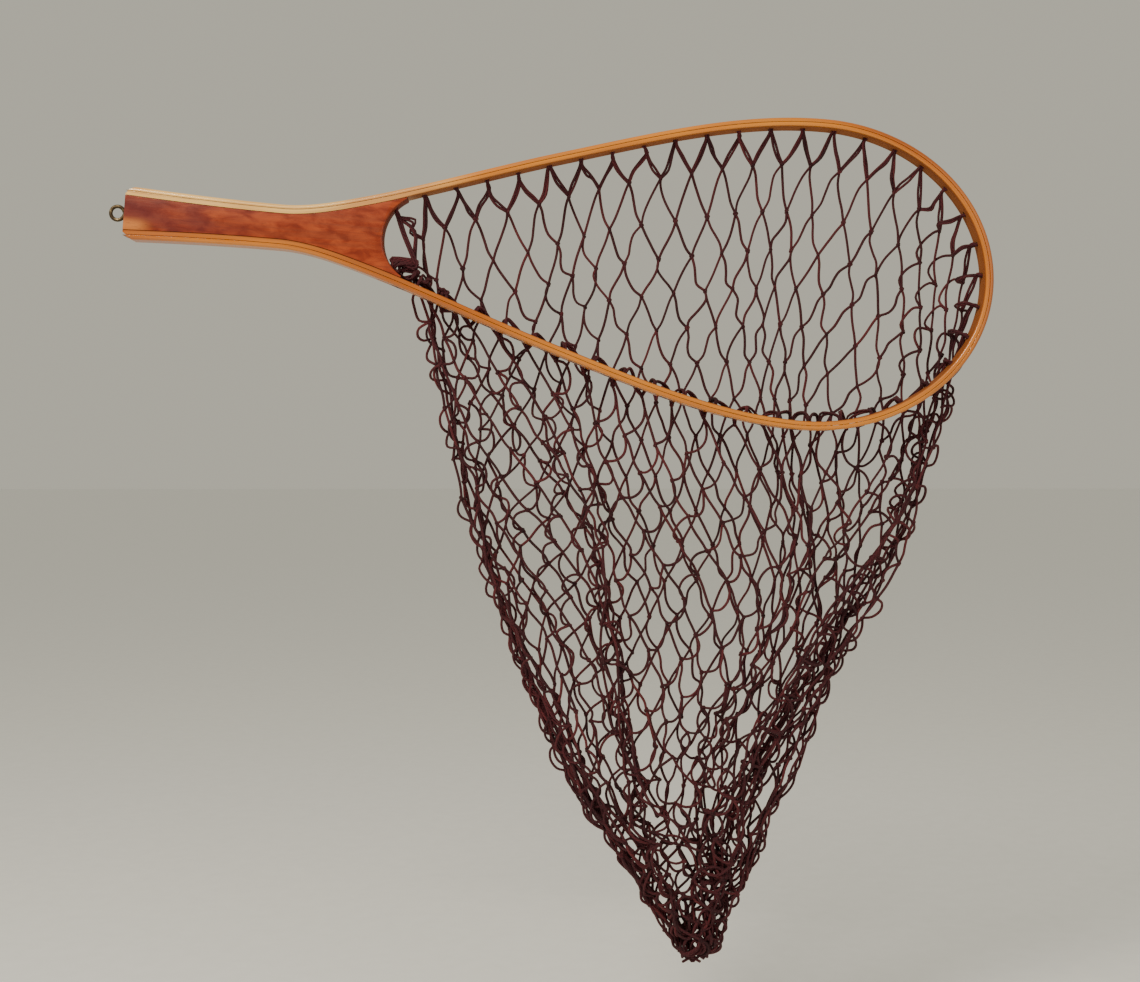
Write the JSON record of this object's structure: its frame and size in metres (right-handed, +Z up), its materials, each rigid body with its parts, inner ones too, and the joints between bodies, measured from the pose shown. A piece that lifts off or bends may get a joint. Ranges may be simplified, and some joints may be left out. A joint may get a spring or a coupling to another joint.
{
  "type": "landing net",
  "caption": "Teardrop wooden landing net: bent laminated hoop, short flared handle with a screw eye, and a deep knotted twine bag hanging from the hoop.",
  "frame": {"origin": "the point on the inner face of the hoop's upper rail, at the middle of its depth, that rests on a nail when the net hangs on its side", "axes": "+Z up, +X along the net towards the hoop's tip (the frame hangs 4.9 degrees tip-down), +Y away from the viewer, towards the wall; the hoop lies in the XZ plane"},
  "size_m": [0.5813, 0.0392, 0.5633],
  "materials": {
    "core_wood": "gloss varnished red-brown hardwood",
    "strip_wood": "gloss varnished pale ash, amber on the hoop",
    "eye_brass": "antiqued, worn bright on the ring's outside",
    "twine": "matt twisted twine, dark maroon"
  },
  "bodies": {
    "frame": {"handle_core": "core_wood", "inner_lamination": "strip_wood", "outer_lamination": "strip_wood", "screw_eye": "eye_brass", "lacing_cord": "twine", "net_selvedge": "twine", "net_mouth": "twine"},
    "bag_upper": {"net_upper": "twine"},
    "bag_lower": {"net_lower": "twine"},
    "bag_tail": {"net_tail": "twine", "tail_cord": "twine"}
  },
  "joints": [
    {"name": "bag_swing", "type": "hinge", "parent": "frame", "child": "bag_upper", "pos_m": [0.1, 0.02, -0.18], "axis": [1, 0, 0], "range_deg": [-50, 80]},
    {"name": "bag_fold", "type": "hinge", "parent": "bag_upper", "child": "bag_lower", "pos_m": [0.095, 0.02, -0.338], "axis": [1, 0, 0], "range_deg": [-70, 70]},
    {"name": "tail_sway", "type": "hinge", "parent": "bag_lower", "child": "bag_tail", "pos_m": [0.0939, 0.02, -0.451], "axis": [0, 1, 0], "range_deg": [-20, 20]}
  ]
}
